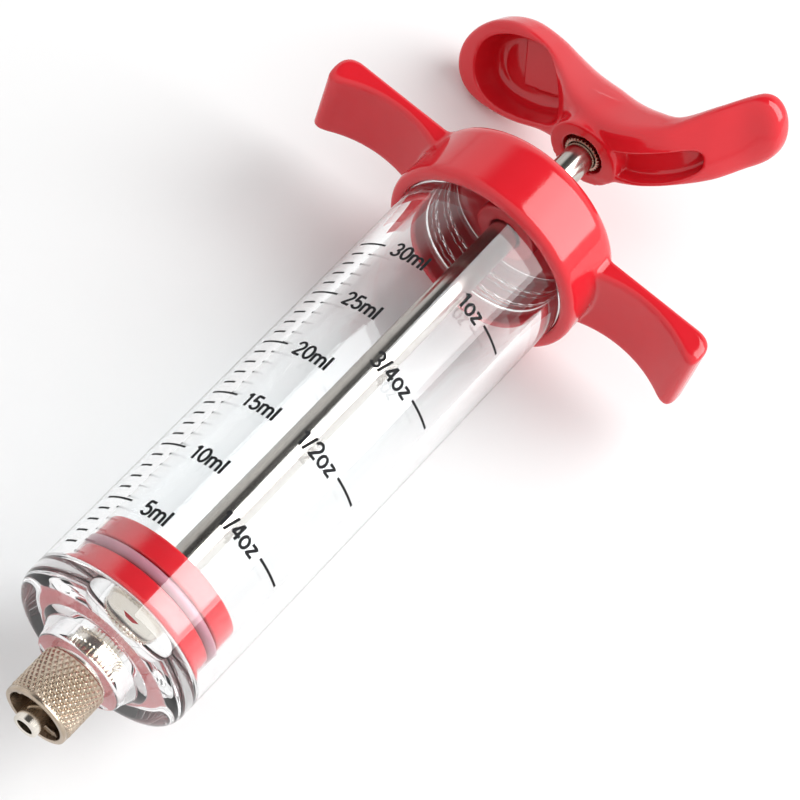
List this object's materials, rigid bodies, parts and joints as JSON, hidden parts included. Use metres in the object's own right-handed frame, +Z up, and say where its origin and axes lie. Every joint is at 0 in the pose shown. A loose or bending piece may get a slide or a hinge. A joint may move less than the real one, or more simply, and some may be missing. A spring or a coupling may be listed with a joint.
{
  "type": "meat injector",
  "caption": "Hand meat injector: clear graduated barrel, metal luer-lock nozzle, sealed plunger on a steel rod, finger-grip collar and curved palm handle.",
  "frame": {"origin": "middle of the underside of the whole object's box, plunger pushed home", "axes": "+X along the barrel from the nozzle to the handle, +Y along the finger wings, +Z up"},
  "size_m": [0.1458, 0.0702, 0.0358],
  "materials": {
    "clear_plastic": "clear moulded plastic",
    "nickelled_brass": "nickel plated, knurled",
    "red_plastic": "glossy moulded plastic",
    "silicone": "translucent silicone",
    "stainless_steel": "polished bar"
  },
  "bodies": {
    "barrel_group": {"barrel": "clear_plastic", "nozzle_insert": "nickelled_brass", "luer_lock_sleeve": "nickelled_brass", "finger_grip_collar": "red_plastic"},
    "seal_ring": {"piston_seal_ring": "silicone"},
    "plunger": {"piston": "red_plastic", "piston_bush": "nickelled_brass", "plunger_rod": "stainless_steel", "palm_handle": "red_plastic", "handle_insert": "nickelled_brass"}
  },
  "joints": [
    {"name": "plunger_slide", "type": "slide", "parent": "barrel_group", "child": "seal_ring", "axis": [1, 0, 0], "range_m": [0, 0.0775]},
    {"name": "plunger_spin", "type": "hinge", "parent": "seal_ring", "child": "plunger", "pos_m": [0, 0, 0.0181], "axis": [1, 0, 0], "continuous": true}
  ]
}
